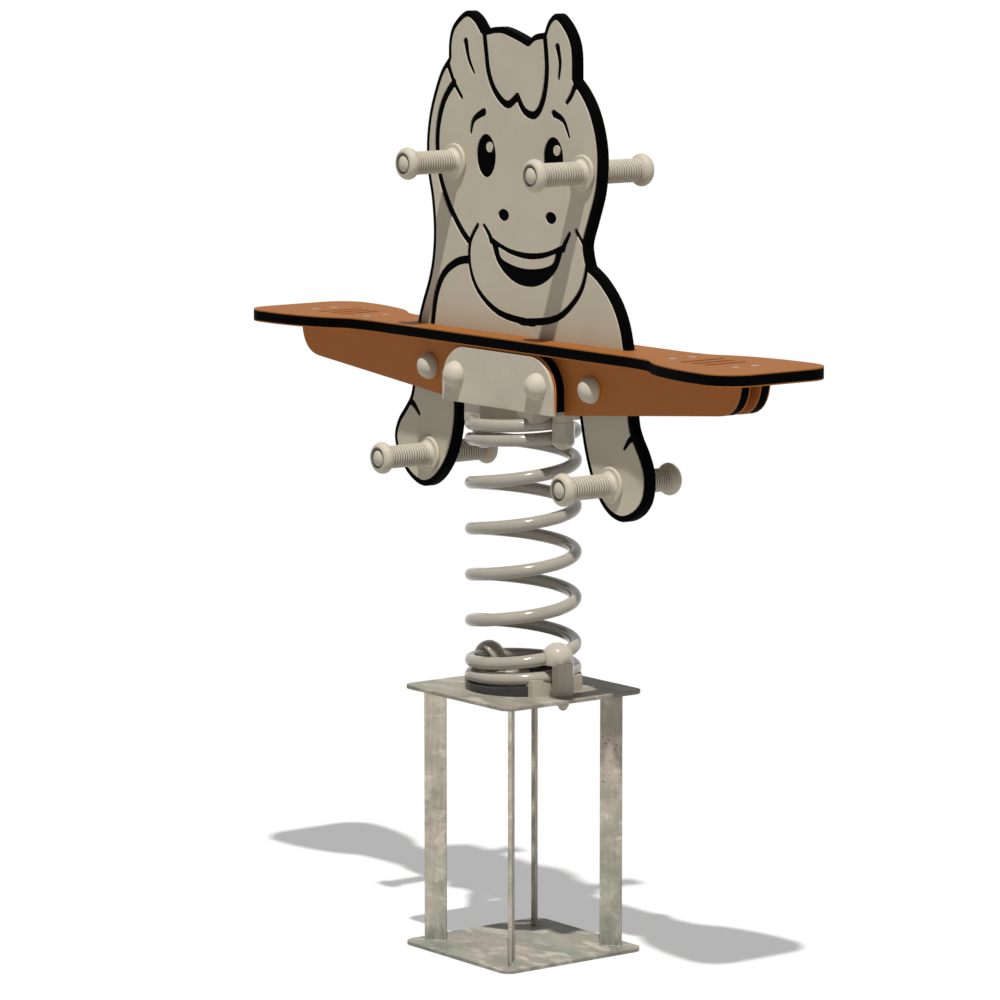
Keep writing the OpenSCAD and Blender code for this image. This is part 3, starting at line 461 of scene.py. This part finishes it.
def bar_length(name, u0, u1):
    """A stretch of the coiled bar as a closed tube."""
    count = max(8, round((u1 - u0) * rings_per_turn))
    mesh = bmesh.new()
    rows = []
    for i in range(count + 1):
        u = u0 + (u1 - u0) * i / count
        centre = bar_point(u)
        ahead = (bar_point(u + nudge) - bar_point(u - nudge)).normalized()
        out = Vector((centre.x, centre.y, 0)).normalized()
        side = ahead.cross(out).normalized()
        out = side.cross(ahead)
        rows.append([
            mesh.verts.new(centre + bar_r * (out * math.cos(b) + side * math.sin(b)))
            for b in (2 * math.pi * k / bar_sides for k in range(bar_sides))
        ])
    skin_rows(mesh, rows)
    return piece_from(mesh, name, spring_coat)


half_turn = low_turns + open_turns / 2
lower_half = bar_length("coil_lower_half", 0.0, half_turn)
upper_half = bar_length("coil_upper_half", half_turn, all_turns)
for half in (lower_half, upper_half):
    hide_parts("coil_spring")
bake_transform(lower_half)
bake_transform(upper_half)


# Upper clamps and head: blocks and eight-sided jaws under a steel head plate, whose two long
# sides carry the arched bracket plates. All of it is welded and powder coated.
# The upper clamps and head plate take the same lightened clamp coat, as painted light.
for piece_name in ("upper_clamp_blocks", "upper_clamp_jaws", "head_plate"):
    dress(piece_name, clamp_coat, edge=0.0012)
# Painted light: the bracket plates carry the spring's paint, lighter still, so their upright faces read
# as brightly as the sunlit spring.
bracket_coat = powder_coat("bracket_powder_coat", (0.665, 0.60, 0.485), 0.5, 0.2)
for piece_name in ("front_bracket_plate", "rear_bracket_plate"):
    dress(piece_name, bracket_coat, edge=0.0014)


# Boards: brown and black plastic sheet in three layers, sawn and edge-rounded.
# The skins have a fine haircell grain, and the black core shows as a stripe at every cut edge.
def board_skin(name, colour, specular=0.15):
    """Coloured plastic sheet, satin, with its pressed-in grain."""
    skin = finish(name, colour, 0.5, specular)
    where = place_in(skin)
    cloud = noise_over(skin, where, Scale=9, Detail=4, Roughness=0.55)
    grain = noise_over(skin, where, Scale=1400, Detail=2, Roughness=0.5)
    haircell = add(skin, "ShaderNodeTexVoronoi", Scale=900, feature="SMOOTH_F1")
    join(skin, (where, haircell.inputs["Vector"]))
    cloud_tint(skin, cloud, colour, 0.95, 1.03)
    feed(skin, ramp(skin, grain, (0.3, 0.44), (0.7, 0.58)), "Roughness")
    relief(skin, (haircell.outputs["Distance"], 0.00010), (grain, 0.00004))
    return skin


black = finish("black_core", (0.0015, 0.0015, 0.0015), 0.75, specular=0.01)
saw_marks = noise_over(black, place_in(black), Scale=700, Detail=2)
feed(black, ramp(black, saw_marks, (0.3, 0.5), (0.7, 0.72)), "Roughness")
relief(black, (saw_marks, 0.00006))
# Painted light: the beams' and spacers' brown is the plank's brown painted lighter, because they stand in
# the plank's shade.
brown = board_skin("brown_skin", (0.505, 0.173, 0.035))
for side in ("front", "rear"):
    for board in ("spacer", "beam"):
        dress(f"{side}_{board}_core", black, edge=0.0006)
        dress(f"{side}_{board}_skins", brown, edge=0.0010)


# Pony panel: a beige, black and beige board, routed on both faces down to the core.
# The router leaves the skins with rounded edges beside every black line.
beige = board_skin("beige_skin", (0.645, 0.59, 0.463))
dress("panel_core", black, edge=0.0010)
for piece_name in ("panel_front_skin", "panel_rear_skin"):
    dress(piece_name, beige, edge=0.0016, steps=4)


# Plank seat: one long board, brown over black over brown, sawn with a waist and round corners.
# The panel stands in a slot at its middle, and eight zinc-plated screws hold it to the beams.
# Painted shade: the plank's brown is the beams' brown painted darker, because its top takes the full sun.
plank_brown = board_skin("plank_brown_skin", (0.35, 0.127, 0.029), specular=0.04)
dress("seat_core", black, edge=0.0008)
for piece_name in ("seat_top_skin", "seat_bottom_skin"):
    dress(piece_name, plank_brown, edge=0.0012, steps=3)
dress("seat_screws", zinc, edge=0.0004)


# Through bolts: zinc-plated bolts and nuts that pin brackets, beams and panel together.
# Each end is closed by a moulded cap base and a dome cap in beige plastic.
plastic_beige = (0.63, 0.575, 0.465)


def moulded(name):
    """Beige plastic with the mould's fine skin."""
    shell = finish(name, plastic_beige, 0.5, specular=0.25)
    where = place_in(shell)
    tint = noise_over(shell, where, Scale=30, Detail=3)
    mould_skin = noise_over(shell, where, Scale=650, Detail=3, Roughness=0.5)
    cloud_tint(shell, tint, plastic_beige, 0.95, 1.03)
    relief(shell, (mould_skin, 0.00006))
    return shell


plastic = moulded("beige_plastic")
for piece_name in ("bracket_bolts", "beam_bolts", "bolt_nuts"):
    dress(piece_name, zinc)
for piece_name in ("cap_bases", "bolt_caps"):
    dress(piece_name, plastic, edge=0.0006)


# Grips and pegs: ribbed plastic sleeves on steel axles through the panel, each held by a nut
# that a button covers in the bulb at the grip's end.
axle_r = 0.006
# groove_shade is the share of the colour left at a groove's bottom: painted shade, fading out towards the
# ribs.
groove_r, rib_r = 0.0163, 0.0181
groove_shade = 0.22


def ribbed(name, axle):
    """Moulded plastic with painted shade in its grooves, which lie nearer to the axle's middle line than
    the ribs.
    """
    sleeve = moulded(name)
    points = [point.co for point in cad[axle].data.vertices]
    heights = [point.z for point in points]
    middle = (max(point.x for point in points) - axle_r, 0, (min(heights) + max(heights)) / 2)
    one_side = add(sleeve, "ShaderNodeVectorMath", operation="ABSOLUTE")
    from_axle = add(sleeve, "ShaderNodeVectorMath", operation="SUBTRACT")
    from_axle.inputs[1].default_value = middle
    across = add(sleeve, "ShaderNodeVectorMath", operation="MULTIPLY")
    across.inputs[1].default_value = (1, 0, 1)
    radius = add(sleeve, "ShaderNodeVectorMath", operation="LENGTH")
    depth = add(sleeve, "ShaderNodeMapRange")
    limits = {"From Min": groove_r, "From Max": rib_r, "To Min": groove_shade, "To Max": 1.0}
    for socket, value in limits.items():
        depth.inputs[socket].default_value = value
    join(sleeve, (place_in(sleeve), one_side.inputs[0]), (one_side.outputs[0], from_axle.inputs[0]),
         (from_axle.outputs[0], across.inputs[0]), (across.outputs[0], radius.inputs[0]),
         (radius.outputs["Value"], depth.inputs["Value"]))
    shader = sleeve.node_tree.nodes["Principled BSDF"]
    unshaded_colour = shader.inputs["Base Color"].links[0].from_socket
    # Painted shade: the colour is darkened in the grooves, by how near they lie to the axle.
    feed(sleeve, blend_colour(sleeve, "MULTIPLY", 1.0, unshaded_colour, depth.outputs["Result"]), "Base Color")
    return sleeve


for piece_name in ("hand_axles", "foot_axles", "axle_nuts"):
    dress(piece_name, zinc)
dress("hand_grips", ribbed("hand_grip_plastic", "hand_axles"))
dress("foot_pegs", ribbed("foot_peg_plastic", "foot_axles"))
dress("grip_buttons", plastic, edge=0.0004)
